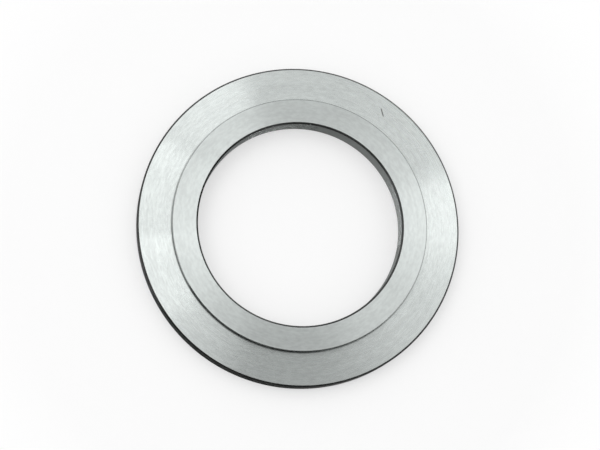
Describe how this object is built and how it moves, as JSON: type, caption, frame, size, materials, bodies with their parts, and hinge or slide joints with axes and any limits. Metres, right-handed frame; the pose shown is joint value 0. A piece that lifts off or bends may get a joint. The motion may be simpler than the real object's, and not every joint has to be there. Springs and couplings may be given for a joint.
{
  "type": "stepped washer",
  "caption": "Flat metal ring with a raised land round a plain bore, turned in one piece. It spaces and centres a shaft or tube in a hole.",
  "frame": {"origin": "centre of the flat base, on the bore's axis", "axes": "+Z along the bore, from the flat base towards the raised land; X and Y are free, because the ring is round"},
  "size_m": [0.057, 0.057, 0.004],
  "materials": {
    "turned_metal": "bright, finely turned, with concentric tool marks on the faces"
  },
  "bodies": {
    "root": {"washer": "turned_metal"}
  },
  "joints": []
}
